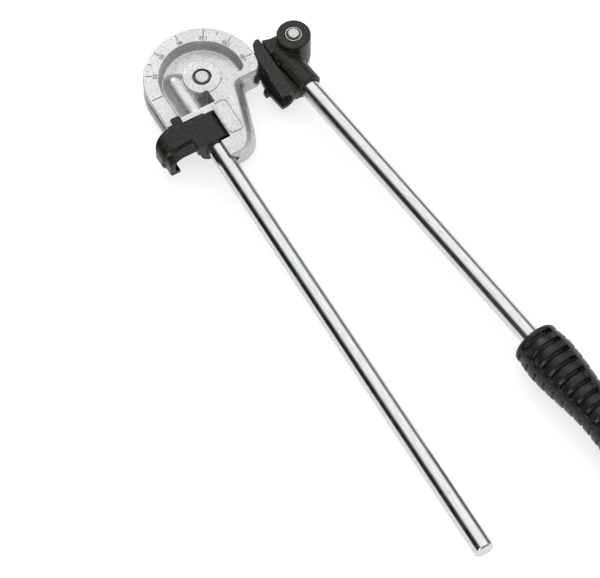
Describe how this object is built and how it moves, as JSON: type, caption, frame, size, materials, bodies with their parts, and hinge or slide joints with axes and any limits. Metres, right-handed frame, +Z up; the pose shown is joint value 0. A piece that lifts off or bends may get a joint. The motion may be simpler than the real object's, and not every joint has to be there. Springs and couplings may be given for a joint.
{
  "type": "two-hand tube bender",
  "caption": "Two-hand lever bender for tube: round former with degree dial, hook bracket, linked head with slide shoe, one bare lever and one with a ribbed grip.",
  "frame": {"origin": "on the bend axis, at the flat head of the pivot pin, on which the tool rests", "axes": "+Z up out of the dial, the fixed lever runs towards -Y and the head lies towards +X at rest"},
  "size_m": [0.1734, 0.4428, 0.0386],
  "materials": {
    "cast_aluminium": "die-cast aluminium, tumbled, light grey with fine speckle",
    "lever_steel": "bright zinc-plated steel rod",
    "link_steel": "zinc-plated steel plate",
    "bright_steel": "turned and ground steel",
    "dark_steel": "oiled black spring steel",
    "black_casting": "black coated casting with a faint texture",
    "black_plastic": "black moulded plastic, slightly sheened",
    "bronze": "sintered bronze",
    "grip_rubber": "black ribbed grip, satin"
  },
  "bodies": {
    "former": {"former_casting": "cast_aluminium", "pivot_bush": "bronze", "fixed_lever": "lever_steel", "lever_lock_pin": "dark_steel"},
    "hook": {"hook_bracket": "black_casting"},
    "link": {"link_plate": "link_steel", "pivot_pin": "bright_steel", "pivot_washer": "link_steel", "pivot_retaining_ring": "dark_steel", "head_pin": "bright_steel", "head_washer": "link_steel", "head_retaining_ring": "dark_steel"},
    "head": {"head_casting": "black_casting", "head_bush": "bright_steel", "slide_shoe": "black_plastic", "shoe_rivet_lower": "link_steel", "shoe_rivet_upper": "link_steel", "moving_lever": "lever_steel", "moving_lever_pin": "dark_steel", "grip": "grip_rubber"}
  },
  "joints": [
    {"name": "bend_turn", "type": "hinge", "parent": "former", "child": "link", "pos_m": [0, 0, 0.0202], "axis": [0, 0, 1], "range_deg": [0, 180]},
    {"name": "head_swing", "type": "hinge", "parent": "link", "child": "head", "pos_m": [0.0697, -0.0053, 0.0202], "axis": [0, 0, 1], "range_deg": [0, 60]},
    {"name": "hook_swivel", "type": "hinge", "parent": "former", "child": "hook", "pos_m": [-0.0168, -0.0386, 0.0202], "axis": [0, 1, 0], "range_deg": [0, 90]}
  ]
}
